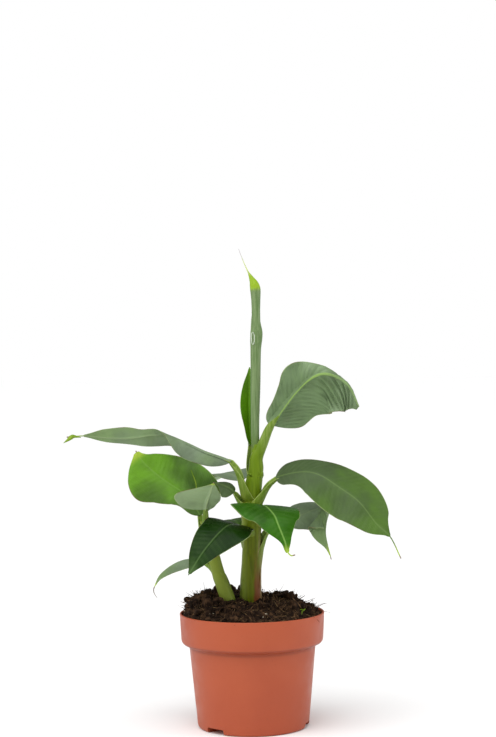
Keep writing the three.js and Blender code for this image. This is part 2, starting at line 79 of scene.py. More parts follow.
# Leaves, in millimetres and degrees. Lists run evenly spaced from the blade's base to its tip.
#   path: points up the stalk and on along the midrib; the blade starts at point number base
#   thread: the last share of the blade, which is the thin tail of its tip
#   face: the way that the upper side looks
#   left, right: the half blades' widths
#   lift_left, lift_right: how far each half is turned up; curl: how much further each turns at its margin
#   petiole: the stalk's radius at its foot and at the blade
#   upper, lower: the tones of the two sides; slot: the CAD material slot
#   sheath: the height at which the stalk starts round its stem
# and where they apply:
#   stem: the stem that bears the leaf; wrap: the height at which the stalk leaves it
#   skew: how far the margins lean towards the tip
#   broad: the share of the blade over which its base is rounded
#   lime: the share at which the tip turns lime, 2 for never
#   ripple, pleat: depths of the ripples between the veins and of the pleats near the tip; slant: their lean
LEAVES = {
    "upright_young": {
        "path": [[1, 7, 215], [1, 10, 232], [0, 14, 250], [0, 20, 272], [1, 27, 297]],
        "base": 1, "thread": 0.02,
        "face": [[0, -1, 0.2], [0, -1, 0.3], [0, -1, 0.4]],
        "left": [2, 6, 8, 7.5, 5, 1], "right": [2, 8, 11, 10, 6, 1],
        "lift_left": [40, 20, 10], "lift_right": [40, 20, 10], "curl": [20, 20],
        "petiole": [2.6, 1.8], "upper": "vivid", "lower": "bright",
        "sheath": 205, "slot": "leaf_bright", "lime": 2,
    },
    "upper_right": {
        "path": [[6, 0, 220], [11.5, 0, 235], [17.5, -2, 249], [26.5, -5, 261.5], [38.5, -8, 276],
                 [49.5, -10, 286], [60.5, -10, 290.5], [72, -9, 288], [83, -7, 279.5], [91, -4, 263]],
        "base": 2, "thread": 0,
        "face": [[-0.5, 1, 0.5], [-0.2, 1, 0.4], [0, 1, 0.4], [0.5, 0.9, 0.5]],
        "left": [8, 26, 28, 34, 35, 25, 14, 3], "right": [10, 10.5, 15, 21, 9, 5, 3, 1],
        "lift_left": [0, 0, 0, 0], "lift_right": [0, 0, 0, 0, 40, 80, 90, 90], "curl": [-10, 5],
        "skew": [0, 0, -0.05, -0.1, 0.1, 0.6, 1, 0.8],
        "petiole": [4, 3], "upper": "mid", "lower": "glaucous",
        "sheath": 204, "wrap": 222, "slot": "leaf_pale",
        "ripple": 0.4, "pleat": 1.3, "slant": 1, "lime": 2,
    },
    "long_left": {
        "path": [[-3, -6, 194], [-8, -9, 209], [-15, -9, 220], [-37, -8, 229], [-52, -4, 236], [-67, 0, 242],
                 [-81, 6, 242], [-94, 12, 240], [-106, 16, 239], [-126, 22, 240], [-140, 26, 241],
                 [-155, 30, 240]],
        "base": 2, "thread": 0.1,
        "face": [[0, -0.4, 1], [0, -0.4, 1], [0, -0.5, 1], [0, -0.5, 1]],
        "left": [4, 12, 14, 10, 6, 10, 8, 1], "right": [3, 8, 10, 12, 11, 6, 5, 1],
        "lift_left": [-45, -45, -28, 60, 95, 95, 95, 90],
        "lift_right": [-68, -68, -74, -82, -85, -85, -85, -90],
        "curl": [-10, 0],
        "petiole": [3.8, 2.2], "upper": "grey", "lower": "grey",
        "sheath": 150, "slot": "leaf_pale",
    },
    "big_left": {
        "path": [[-39, -5, 163], [-42, -3, 175], [-50, 2, 187], [-57, 6, 194], [-68, 11, 201], [-79, 15, 209],
                 [-90, 18, 219], [-96, 20, 228]],
        "base": 1, "thread": 0.02,
        "face": [[0.2, -1, 0.3], [0, -1, 0.3], [-0.2, -1, 0.3]],
        "left": [4, 9, 14, 20, 27, 22, 3], "right": [15, 28, 29, 27, 22, 13, 2],
        "lift_left": [0, 0, 0], "lift_right": [0, 0, 0], "curl": [-10, -10],
        "petiole": [3.2, 1.8], "upper": "bright", "lower": "glaucous",
        "sheath": 142, "stem": "stem_sucker", "slot": "leaf_bright",
    },
    "sucker_pale": {
        "path": [[-37, -9, 166], [-37, -12, 180], [-35, -22, 189], [-32, -35, 197], [-29, -48, 205]],
        "base": 1, "thread": 0.04,
        "face": [[0, 0.6, 0.8], [0, 0.6, 0.8], [0, 0.6, 0.8]],
        "left": [3, 8, 10, 9, 5, 1], "right": [8, 24, 28, 25, 13, 1],
        "lift_left": [0, 0, 0], "lift_right": [0, 0, 0], "curl": [-10, -10],
        "petiole": [2.6, 1.8], "upper": "mid", "lower": "pale",
        "sheath": 148, "stem": "stem_sucker", "slot": "leaf_pale",
    },
    "front_left": {
        "path": [[-3, -8, 163], [-9, -20, 168], [-17, -34, 170], [-24, -44, 166], [-33, -52, 157],
                 [-41, -58, 147], [-50, -62, 133]],
        "base": 1, "thread": 0.02,
        "face": [[0.3, -0.2, 1], [0.2, -0.4, 1], [-0.4, -1, 0.5], [-0.5, -1, 0.3], [-0.5, -1, 0.2]],
        "left": [6, 20, 23, 18, 13, 8, 1.5], "right": [6, 22, 20, 18, 14, 9, 1.5],
        "lift_left": [18, 4, 0, 0], "lift_right": [-5, 0, 0, 0], "curl": [-10, -10],
        "petiole": [2.6, 1.8], "upper": "dark", "lower": "mid",
        "sheath": 122, "slot": "leaf_dark", "lime": 2,
    },
    "front_right": {
        "path": [[5, -8, 178], [9, -20, 184], [13, -32, 184], [19, -44, 178], [22, -51, 171], [27, -56, 158],
                 [28.5, -58, 151], [31.5, -59, 147], [35, -59, 147.5]],
        "base": 1, "thread": 0.1,
        "face": [[0, 0, 1], [0.1, -0.3, 1], [0.2, -1, 0.5], [0.2, -1, 0.3], [0.2, -1, 0.1]],
        "left": [8, 28, 26, 21, 14, 6, 1.5], "right": [8, 30, 28, 19, 11, 4, 1.5],
        "lift_left": [-5, 0, 0, 0], "lift_right": [12, 6, 0, 0], "curl": [-10, -10],
        "petiole": [2.8, 1.8], "upper": "fresh", "lower": "mid",
        "sheath": 132, "slot": "leaf_bright", "lime": 0.78,
    },
    "behind_right": {
        "path": [[4.5, -1, 137], [7.5, 0, 149], [13.5, 1, 161], [28, 2, 169], [43, 2, 174], [53, 1, 178],
                 [60, -3, 180], [63, -8, 172], [62, -10, 158], [66, -11, 138]],
        "base": 3, "thread": 0.05,
        "face": [[0, -0.5, 1], [0, -0.5, 1], [0.4, -0.5, 0.8], [0.9, -0.5, 0.2], [0.9, -0.4, 0]],
        "left": [3, 14, 13, 6, 3, 2, 1], "right": [3, 13, 19, 19, 11, 4.5, 1],
        "lift_left": [10, 15, 0, -45, -60, -60, -40], "lift_right": [-30, -35, -40, -40, -40, -30, -20],
        "curl": [0, -5], "skew": [0, 0, -0.1, 0.7, 1.4, 1.3, 1],
        # Both sides take the pale grey tone: partly the leaf's own grey-green, partly painted light that
        # lightens it where other leaves shade it and stands for the grey sheen along its top.
        "petiole": [2.7, 1.8], "upper": "grey", "lower": "grey",
        "sheath": 92, "wrap": 122, "slot": "leaf_mid", "lime": 0.8,
    },
    "right": {
        "path": [[5, -4, 185], [13, -8, 198], [21, -12, 206], [41, -20, 211], [56, -26, 209], [72, -32, 199],
                 [88, -38, 187], [101, -43, 170], [112, -46, 159], [120, -48, 142]],
        "base": 2, "thread": 0.15,
        "face": [[0, -0.5, 1], [0.1, -0.6, 1], [0.4, -0.9, 0.7], [0.5, -0.9, 0.5], [0.6, -0.8, 0.3]],
        "left": [9, 19, 22, 28, 30, 28, 20, 1.5], "right": [2, 11, 19, 22, 23, 21, 13, 1.5],
        "lift_left": [5, 0, -10, -5, 0], "lift_right": [-30, -30, -25, -20, -10], "curl": [-5, -5],
        "petiole": [3.8, 2.2], "upper": "mid", "lower": "glaucous",
        "sheath": 140, "slot": "leaf_mid", "broad": 0.06,
    },
    "low_left": {
        "path": [[-32, -5, 132], [-42, -2, 138], [-54, 6, 138], [-66, 12, 133], [-77, 15, 124],
                 [-82, 16, 113]],
        "base": 1, "thread": 0.04,
        "face": [[0, -0.1, 1], [-0.3, -0.1, 1], [-0.8, -0.1, 0.5]],
        "left": [3, 11, 12, 10, 6, 1], "right": [3, 11, 12, 10, 6, 1],
        "lift_left": [-35, -35, -35], "lift_right": [-40, -40, -40], "curl": [0, 0],
        "petiole": [2.4, 1.6], "upper": "grey", "lower": "grey",
        "sheath": 92, "stem": "stem_sucker", "slot": "leaf_mid",
    },
    "low_back": {
        "path": [[-4, 5, 150], [-8, 12, 161], [-12, 24, 167], [-18, 40, 167], [-26, 56, 160], [-32, 70, 148]],
        "base": 1, "thread": 0.03,
        "face": [[0, -0.2, 1], [-0.2, 0.2, 1], [-0.4, 0.6, 0.7]],
        "left": [3, 13, 15, 13, 8, 1], "right": [3, 13, 15, 13, 8, 1],
        "lift_left": [5, 0, 0], "lift_right": [5, 0, 0], "curl": [0, 0],
        # The upper side takes the bright tone rather than its own mid green: painted light that lightens it
        # where it lies in shade.
        "petiole": [2.4, 1.6], "upper": "bright", "lower": "mid",
        "sheath": 92, "slot": "leaf_mid",
    },
    "small_left": {
        "path": [[-5, -4, 183], [-13, -6, 194], [-20, -5, 199], [-29, -4, 202]],
        "base": 1, "thread": 0.05,
        "face": [[0, -0.6, 1], [0, -0.6, 1], [0, -0.6, 1]],
        "left": [4, 10, 11, 9, 4, 1], "right": [3, 5, 6, 5, 3, 1],
        "lift_left": [-20, -20, -10], "lift_right": [0, 0, 0], "curl": [0, 0],
        "petiole": [2.6, 1.6], "upper": "mid", "lower": "glaucous",
        "sheath": 136, "slot": "leaf_pale", "lime": 2,
    },
    "back_left": {
        "path": [[-1, 6, 190], [-7, 14, 202], [-17, 28, 207], [-30, 44, 205], [-44, 60, 196], [-56, 74, 182]],
        "base": 1, "thread": 0.03,
        "face": [[0, -0.3, 1], [-0.2, 0.2, 1], [-0.4, 0.5, 0.7]],
        "left": [3, 17, 20, 18, 11, 1], "right": [3, 17, 20, 18, 11, 1],
        "lift_left": [10, 0, 0], "lift_right": [10, 0, 0], "curl": [0, 0],
        "petiole": [3, 1.8], "upper": "grey", "lower": "glaucous",
        "sheath": 146, "slot": "leaf_mid",
    },
}

# Curves and frames


def smooth(values, t):
    """The values at t, from 0 to 1, of a smooth line through evenly spaced values."""
    v = np.asarray(values, float)
    t = np.clip(np.asarray(t, float), 0, 1)
    last = len(v) - 1
    place = t * last
    low = np.minimum(np.floor(place).astype(int), last - 1)
    a, b = v[low], v[low + 1]
    before = v[np.maximum(low - 1, 0)]
    after = v[np.minimum(low + 2, last)]
    step = place - low
    if v.ndim > 1:
        step = step[..., None]
    slope_a, slope_b = (b - before) / 2, (after - a) / 2
    bend = 3 * (b - a) - 2 * slope_a - slope_b
    twist = slope_a + slope_b - 2 * (b - a)
    return a + step * (slope_a + step * (bend + step * twist))


class Curve:
    """A smooth line through points, by share of its length. at_point says where each given point lies."""

    def __init__(self, points, steps=60):
        p = np.asarray(points, float)
        ends = np.vstack([2 * p[0] - p[1], p, 2 * p[-1] - p[-2]])
        u = np.linspace(0, 1, steps, endpoint=False)[:, None]
        parts = []
        for i in range(len(p) - 1):
            a, b, c, d = ends[i:i + 4]
            m, n = (c - a) / 2, (d - b) / 2
            parts.append(b + u * (m + u * ((3 * (c - b) - 2 * m - n) + u * (m + n - 2 * (c - b)))))
        self.points = np.vstack(parts + [p[-1:]])
        lengths = np.r_[0, np.cumsum(np.linalg.norm(np.diff(self.points, axis=0), axis=1))]
        self.length = lengths[-1]
        self.share = lengths / self.length
        self.at_point = self.share[::steps]

    def point(self, t):
        return np.stack([np.interp(t, self.share, self.points[:, k]) for k in range(3)], -1)

    def along(self, t):
        d = self.point(np.clip(t + 0.004, 0, 1)) - self.point(np.clip(t - 0.004, 0, 1))
        return d / np.linalg.norm(d, axis=-1, keepdims=True)


def frames(curve, at, face):
    """Point, along, right and up at each place on the curve."""
    along = curve.along(at)
    right = np.cross(along, face)
    right /= np.linalg.norm(right, axis=-1, keepdims=True)
    return curve.point(at), along, right, np.cross(right, along)


# Meshes


def make_mesh(name, points, faces, uvs=(), materials=(), indices=None, outward=False):
    """A mesh piece from points in millimetres. uvs is [(name, one pair for each point)]."""
    mesh = bpy.data.meshes.new(name)
    mesh.from_pydata((np.asarray(points) * MM).tolist(), [], [list(map(int, f)) for f in faces])
    loops = np.zeros(len(mesh.loops), int)
    mesh.loops.foreach_get("vertex_index", loops)
    for label, values in uvs:
        layer = mesh.uv_layers.new(name=label)
        layer.data.foreach_set("uv", np.asarray(values, np.float32)[loops].ravel())
    for m in materials:
        mesh.materials.append(m)
    if indices is not None:
        mesh.polygons.foreach_set("material_index", np.asarray(indices, np.int32))
    mesh.polygons.foreach_set("use_smooth", [True] * len(mesh.polygons))
    mesh.validate()
    if outward:
        bm = bmesh.new()
        bm.from_mesh(mesh)
        bmesh.ops.recalc_face_normals(bm, faces=bm.faces)
        bm.to_mesh(mesh)
        bm.free()
    mesh.update()
    ob = bpy.data.objects.new(name, mesh)
    bpy.context.scene.collection.objects.link(ob)
    return ob


def grid_faces(rows, columns, start=0, closed=False, flip=False):
    """Quads between rows of points, numbered from start. closed joins each row's last point to its first."""
    r, c = np.meshgrid(np.arange(rows - 1), np.arange(columns if closed else columns - 1), indexing="ij")
    a = r * columns + c
    b = r * columns + (c + 1) % columns
    q = np.stack([a, b, b + columns, a + columns], -1).reshape(-1, 4) + start
    return q[:, ::-1] if flip else q


TUBE_FACE = np.array([0.31, -0.9, 0.3])


def tube(curve, radii, sides, steps):
    """Rings of points along the curve and their faces, closed at both ends.

    radii is a list spread evenly along the curve, or a function of the angle and the length run.
    """
    share = np.linspace(0, 1, steps + 1)
    p, _, right, up = frames(curve, share, TUBE_FACE)
    angle = np.linspace(0, 2 * np.pi, sides, endpoint=False)
    if callable(radii):
        r = radii(angle[None, :], share[:, None] * curve.length)
    else:
        r = smooth(radii, share)[:, None] * np.ones(sides)
    ring = p[:, None] + r[..., None] * (np.cos(angle)[None, :, None] * right[:, None]
                                        - np.sin(angle)[None, :, None] * up[:, None])
    points = np.vstack([ring.reshape(-1, 3), p[:1], p[-1:]])
    faces = [list(f) for f in grid_faces(steps + 1, sides, closed=True)]
    first, last = (steps + 1) * sides, (steps + 1) * sides + 1
    for i in range(sides):
        j = (i + 1) % sides
        faces.append([first, j, i])
        faces.append([last, steps * sides + i, steps * sides + j])
    place = np.stack(np.broadcast_arrays(share[:, None], (angle / (2 * np.pi))[None, :]), -1).reshape(-1, 2)
    return points, faces, np.vstack([place, [[0, 0.5]], [[1, 0.5]]])


# Materials


class Nodes:
    """Short calls that make shader nodes and links."""

    def __init__(self, name, roughness, specular=0.5):
        self.material = bpy.data.materials.new(name)
        self.material.use_nodes = True
        self.tree = self.material.node_tree
        self.shader = self.tree.nodes["Principled BSDF"]
        self.shader.inputs["Roughness"].default_value = roughness
        self.shader.inputs["Specular IOR Level"].default_value = specular

    def put(self, socket, value):
        if isinstance(value, bpy.types.NodeSocket):
            self.tree.links.new(value, socket)
        elif isinstance(value, (tuple, list)) and len(value) == 3 and socket.type == "RGBA":
            socket.default_value = (*value, 1)
        else:
            socket.default_value = value

    def add(self, kind):
        return self.tree.nodes.new("ShaderNode" + kind)

    def coords(self):
        return self.add("TexCoord").outputs["Object"]

    def places(self):
        split = self.add("SeparateXYZ")
        self.put(split.inputs[0], self.coords())
        return split.outputs

    def uv(self, name):
        node = self.add("UVMap")
        node.uv_map = name
        split = self.add("SeparateXYZ")
        self.put(split.inputs[0], node.outputs["UV"])
        return split.outputs["X"], split.outputs["Y"]

    def math(self, kind, a, b=0.0):
        node = self.add("Math")
        node.operation = kind
        self.put(node.inputs[0], a)
        self.put(node.inputs[1], b)
        return node.outputs[0]

    def ramp(self, value, low, high, to_low=0.0, to_high=1.0):
        """value from low to high, turned smoothly into to_low to to_high."""
        node = self.add("MapRange")
        node.interpolation_type = "SMOOTHSTEP"
        for socket, v in zip(node.inputs, (value, low, high, to_low, to_high)):
            self.put(socket, v)
        return node.outputs[0]

    def noise(self, scale, detail, stretch=None):
        node = self.add("TexNoise")
        vector = self.coords()
        if stretch:
            mapping = self.add("Mapping")
            self.put(mapping.inputs["Vector"], vector)
            mapping.inputs["Scale"].default_value = stretch
            vector = mapping.outputs[0]
        self.put(node.inputs["Vector"], vector)
        node.inputs["Scale"].default_value = scale
        node.inputs["Detail"].default_value = detail
        return node.outputs["Fac"]

    def mix(self, share, a, b):
        node = self.add("Mix")
        node.data_type = "RGBA"
        self.put(node.inputs[0], share)
        self.put(node.inputs[6], a)
        self.put(node.inputs[7], b)
        return node.outputs[2]

    def bump(self, height, strength, distance):
        node = self.add("Bump")
        node.inputs["Strength"].default_value = strength
        node.inputs["Distance"].default_value = distance
        self.put(node.inputs["Height"], height)
        self.put(self.shader.inputs["Normal"], node.outputs[0])

    def color(self, value):
        self.put(self.shader.inputs["Base Color"], value)

    def rough(self, value):
        self.put(self.shader.inputs["Roughness"], value)


def srgb(r, g, b):
    """The linear colour of an sRGB one from 0 to 255."""
    return tuple(((c / 255 + 0.055) / 1.055) ** 2.4 if c > 10 else c / 255 / 12.92 for c in (r, g, b))


# Each tone: near the blade's base, towards its tip, along the rib, roughness, how strong the rib is, sheen.
TONES = {
    "vivid": (srgb(76, 124, 2), srgb(86, 136, 4), srgb(108, 150, 44), 0.42, 0.3, 0.14),
    "bright": (srgb(64, 96, 28), srgb(98, 148, 32), srgb(120, 160, 70), 0.42, 0.3, 0.16),
    "fresh": (srgb(34, 78, 1), srgb(42, 96, 1), srgb(124, 164, 80), 0.3, 0.7, 0.1),
    "mid": (srgb(66, 86, 48), srgb(74, 106, 34), srgb(106, 132, 72), 0.42, 0.4, 0.2),
    "dark": (srgb(12, 42, 0), srgb(34, 68, 4), srgb(90, 118, 66), 0.3, 0.45, 0.08),
    "grey": (srgb(112, 130, 102), srgb(118, 144, 92), srgb(134, 152, 110), 0.5, 0.45, 0.22),
    "glaucous": (srgb(108, 132, 92), srgb(148, 170, 134), srgb(140, 174, 88), 0.55, 0.9, 0.22),
    "pale": (srgb(142, 166, 122), srgb(148, 172, 126), srgb(160, 180, 128), 0.52, 0.6, 0.22),
}


# Side veins, as radians for each millimetre along the rib, how far they lean for each millimetre across,
# and the share of the blade at which its lime tip starts.
FINE_VEINS = 5.2
BROAD_VEINS = 1.3
VEIN_SLANT = 0.45
LIME_START = 0.88


def leaf_material(tone):
    near, far, rib, rough, rib_share, sheen = TONES[tone]
    n = Nodes("leaf_" + tone, rough, sheen)
    t, s = n.uv("share")
    along, across = n.uv("mm")
    patches = n.math("MULTIPLY", n.math("SUBTRACT", n.noise(34, 2), 0.5), 1.5)
    color = n.mix(n.ramp(n.math("ADD", t, patches), 0.2, 0.85), near, far)
    color = n.mix(n.ramp(n.noise(55, 3), 0.4, 0.7, 0.0, 0.25), color, (0, 0, 0))
    if tone == "glaucous":
        color = n.mix(n.ramp(n.noise(28, 3), 0.5, 0.68, 0.0, 0.4), color, srgb(126, 108, 98))
    # Pale streaks on the dark and fresh tones: a painted sheen of reflected light.
    if tone in ("dark", "fresh"):
        painted_sheen = n.noise(26, 3, stretch=(1, 1, 0.35))
        color = n.mix(n.ramp(painted_sheen, 0.58, 0.74, 0.0, 0.4), color, srgb(96, 128, 70))
    distance = n.math("ABSOLUTE", across)
    phase = n.math("SUBTRACT", along, n.math("MULTIPLY", distance, VEIN_SLANT))
    fine = n.math("SINE", n.math("MULTIPLY", phase, FINE_VEINS))
    broad = n.math("SINE", n.math("MULTIPLY", phase, BROAD_VEINS))
    veins = n.ramp(n.math("ADD", fine, n.math("MULTIPLY", broad, 0.5)), -1.4, 1.4)
    strong = n.ramp(n.noise(70, 2), 0.3, 0.7, 0.03, 0.14)
    color = n.mix(n.math("MULTIPLY", veins, strong), color, rib)
    rib_line = n.ramp(distance, 1.0, 0.25, 0.0, rib_share)
    if tone == "glaucous":
        rib_line = n.math("MULTIPLY", rib_line, n.ramp(t, 0.22, 0.34, 1.0, 0.35))
    color = n.mix(rib_line, color, rib)
    edge = n.math("ABSOLUTE", n.math("SUBTRACT", n.math("MULTIPLY", s, 2.0), 1.0))
    brown = n.ramp(n.noise(90, 2), 0.45, 0.6, 0.0, 0.8)
    margin = n.mix(brown, srgb(150, 170, 110), srgb(112, 70, 44))
    color = n.mix(n.ramp(edge, 0.968, 0.99, 0.0, 0.8), color, margin)
    color = n.mix(n.ramp(t, LIME_START, 0.965), color, srgb(158, 184, 60))
    color = n.mix(n.ramp(t, 0.975, 0.99), color, srgb(134, 112, 92))
    n.color(color)
    n.rough(n.ramp(n.noise(160, 3), 0.3, 0.7, rough - 0.05, rough + 0.07))
    n.bump(n.math("ADD", veins, n.math("MULTIPLY", n.noise(900, 3), 0.3)), 0.22, 0.0003)
    return n.material


def rolled_material():
    n = Nodes("rolled_leaf", 0.52, 0.35)
    t, _ = n.uv("share")
    streak = n.noise(12, 4, stretch=(50, 50, 2.5))
    color = n.mix(n.ramp(streak, 0.3, 0.7), srgb(90, 118, 64), srgb(120, 142, 94))
    color = n.mix(n.ramp(t, 0.0, 0.12), srgb(90, 116, 44), color)
    color = n.mix(n.ramp(t, 0.775, 0.80), color, srgb(140, 172, 22))
    color = n.mix(n.ramp(t, 0.85, 0.9), color, srgb(196, 208, 130))
    color = n.mix(n.ramp(t, 0.93, 0.98), color, srgb(168, 158, 160))
    n.color(color)
    n.bump(n.math("ADD", streak, n.math("MULTIPLY", n.noise(700, 3), 0.3)), 0.25, 0.0004)
    return n.material


def stem_color(n, streak):
    """Olive green with a paler left side, and a red-brown flush low on the right of the front."""
    x, y, z = n.places()
    low = n.mix(n.ramp(streak, 0.2, 0.8), srgb(78, 90, 2), srgb(106, 118, 10))
    high = n.mix(n.ramp(streak, 0.2, 0.8), srgb(88, 116, 4), srgb(112, 138, 26))
    color = n.mix(n.ramp(z, 0.150, 0.215), low, high)
    color = n.mix(n.ramp(x, -0.0025, -0.0075, 0.0, 0.85), color, srgb(126, 142, 52))
    wobble = n.math("ADD", x, n.math("MULTIPLY", n.math("SUBTRACT", n.noise(60, 3), 0.5), 0.005))
    flush = n.math("MULTIPLY", n.ramp(wobble, 0.0008, 0.0034), n.ramp(y, 0.002, -0.002))
    pale = n.math("MULTIPLY", n.ramp(wobble, 0.0058, 0.0072), n.ramp(z, 0.170, 0.140))
    flush = n.math("MULTIPLY", flush, n.ramp(z, 0.152, 0.108))
    color = n.mix(n.math("MULTIPLY", flush, 0.85), color, srgb(124, 58, 36))
    return n.mix(n.math("MULTIPLY", pale, 0.6), color, srgb(160, 146, 100))


def stalk_material():
    n = Nodes("stalk", 0.42, 0.16)
    t, across = n.uv("share")
    streak = n.noise(14, 4, stretch=(40, 40, 2))
    high = n.mix(n.ramp(streak, 0.3, 0.7), srgb(98, 128, 34), srgb(128, 150, 70))
    color = n.mix(n.ramp(t, 0.5, 0.75), stem_color(n, streak), high)
    edge = n.math("ABSOLUTE", n.math("SUBTRACT", n.math("MULTIPLY", across, 2.0), 1.0))
    line = n.math("MULTIPLY", n.ramp(edge, 0.93, 0.985, 0.0, 0.7), n.ramp(t, 0.47, 0.56))
    n.color(n.mix(line, color, srgb(168, 182, 110)))
    n.bump(streak, 0.15, 0.0003)
    return n.material


def stem_material():
    n = Nodes("stem", 0.42, 0.16)
    streak = n.noise(14, 4, stretch=(40, 40, 2))
    n.color(stem_color(n, streak))
    n.bump(streak, 0.15, 0.0003)
    return n.material


def pot_material():
    n = Nodes("pot_plastic", 0.42, 0.3)
    color = n.mix(n.ramp(n.noise(14, 4), 0.35, 0.65), srgb(173, 82, 50), srgb(166, 76, 46))
    color = n.mix(n.ramp(n.noise(420, 2), 0.62, 0.8, 0.0, 0.25), color, srgb(140, 66, 42))
    _, _, z = n.places()
    # A darker band just under the collar: painted shadow of the collar on the body.
    painted_collar_shadow = n.math("MULTIPLY", n.ramp(z, 0.0640, 0.0668), n.ramp(z, 0.0712, 0.0700))
    color = n.mix(n.math("MULTIPLY", painted_collar_shadow, 0.5), color, srgb(118, 46, 26))
    n.color(color)
    n.rough(n.ramp(n.noise(90, 4), 0.3, 0.7, 0.36, 0.48))
    n.bump(n.noise(700, 3), 0.06, 0.0003)
    return n.material


def crumb_material(name, dark, light, share=(0.35, 0.7)):
    n = Nodes(name, 0.95, 0.15)
    n.color(n.mix(n.ramp(n.noise(190, 5), *share), dark, light))
    n.bump(n.noise(800, 5), 0.8, 0.0008)
    return n.material


LEAF_MATERIALS = {tone: leaf_material(tone) for tone in TONES}
STALK = stalk_material()
STEM = stem_material()
POT_PLASTIC = pot_material()
ROLLED = rolled_material()
PEAT = crumb_material("peat", srgb(22, 11, 5), srgb(60, 42, 27))
PEAT_CRUMB = crumb_material("peat_crumb", srgb(26, 14, 6), srgb(86, 62, 42), (0.44, 0.78))
FIBRE_DARK = crumb_material("fibre_dark", srgb(44, 28, 18), srgb(120, 92, 64))
FIBRE_TAN = crumb_material("fibre_tan", srgb(126, 100, 66), srgb(176, 150, 106))
PERLITE = crumb_material("perlite", srgb(170, 156, 132), srgb(226, 218, 200))
LIME = crumb_material("lime", srgb(108, 140, 30), srgb(146, 172, 64))
DRY = crumb_material("dry_tip", srgb(132, 122, 110), srgb(160, 150, 140))
SAP = crumb_material("sap", srgb(186, 200, 178), srgb(216, 224, 206))


def finished(ob, slot, *nodes):
    """Attaches a piece to the root body and hides the CAD nodes that it takes the place of; slot is not used.
    """
    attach(ob, "root")
    if nodes:
        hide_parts(*nodes)


# Leaves

STATIONS = 150
HALF_CELLS = 26
HALF_THICKNESS = 0.25
THREAD_HALF_WIDTH = 0.5
GROOVE = {"depth": 0.5, "reach": 1.3}
MARGIN_WAVE = {"height": 0.8, "length": 8.5}


def half_widths(leaf, side, t):
    """The half blade's width: rounded at the base, drawn out to a thin tail at the tip."""
    thread = 1 - leaf["thread"]
    values = [max(leaf[side][0], 0.8 * leaf[side][1])] + leaf[side][1:]
    rounded = np.sqrt(1 - np.clip(1 - t / leaf.get("broad", 0.13), 0, 1) ** 2)
    width = np.maximum(smooth(values, t / thread) * rounded, THREAD_HALF_WIDTH)
    return np.where(t < thread, width, THREAD_HALF_WIDTH)


def half_across(leaf, side, t, share):
    """How far right and up each point of a half blade lies from the midrib."""
    hand = -1 if side == "left" else 1
    width = half_widths(leaf, side, t)
    lift = smooth(leaf["lift_" + side], t)[:, None] + leaf["curl"][0 if hand < 0 else 1] * share[None, :]
    angle = np.radians(lift)
    steps = np.diff(np.r_[0, share])[None, :] * width[:, None]
    x = np.cumsum(steps * np.cos(angle), axis=1)
    y = np.cumsum(steps * np.sin(angle), axis=1)
    return hand * x, y, width


def unit(v):
    return v / np.maximum(np.linalg.norm(v, axis=-1, keepdims=True), 1e-9)


